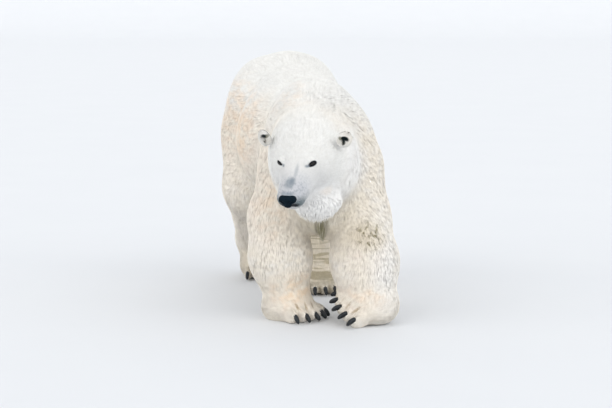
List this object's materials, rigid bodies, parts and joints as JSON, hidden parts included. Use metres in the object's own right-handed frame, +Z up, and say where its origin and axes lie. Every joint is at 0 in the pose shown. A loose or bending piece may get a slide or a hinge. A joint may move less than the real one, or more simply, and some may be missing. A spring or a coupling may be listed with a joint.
{
  "type": "polar bear",
  "caption": "Life-size polar bear in mid-stride, head low and turned to its right, with a thick pale coat, black nose and eyes, small round ears and broad clawed paws.",
  "frame": {"origin": "on the floor, under the middle of the bear's bounding box", "axes": "+Z up, -Y the way the bear walks, +X towards the bear's own left"},
  "size_m": [0.7319, 2.1836, 1.2794],
  "materials": {
    "coat": "thick pale fur, matte",
    "nose": "bare dark skin, slightly damp",
    "claw": "dark horn, satin",
    "eye": "very dark brown, wet gloss"
  },
  "bodies": {
    "root": {"claw_foreleg_left_1": "claw", "claw_foreleg_left_2": "claw", "claw_foreleg_left_3": "claw", "claw_foreleg_left_4": "claw", "claw_foreleg_left_5": "claw", "claw_foreleg_right_1": "claw", "claw_foreleg_right_2": "claw", "claw_foreleg_right_3": "claw", "claw_foreleg_right_4": "claw", "claw_foreleg_right_5": "claw", "claw_hindleg_left_1": "claw", "claw_hindleg_left_2": "claw", "claw_hindleg_left_3": "claw", "claw_hindleg_left_4": "claw", "claw_hindleg_left_5": "claw", "claw_hindleg_right_1": "claw", "claw_hindleg_right_2": "claw", "claw_hindleg_right_3": "claw", "claw_hindleg_right_4": "claw", "claw_hindleg_right_5": "claw", "ear_left": "coat", "ear_right": "coat", "eye_left": "eye", "eye_right": "eye", "forearm_left": "coat", "forearm_right": "coat", "forepaw_left": "coat", "forepaw_right": "coat", "head": "coat", "hindpaw_left": "coat", "hindpaw_right": "coat", "lower_jaw": "coat", "neck": "coat", "nose_pad": "nose", "shank_left": "coat", "shank_right": "coat", "tail": "coat", "thigh_left": "coat", "thigh_right": "coat", "trunk": "coat"}
  },
  "joints": []
}
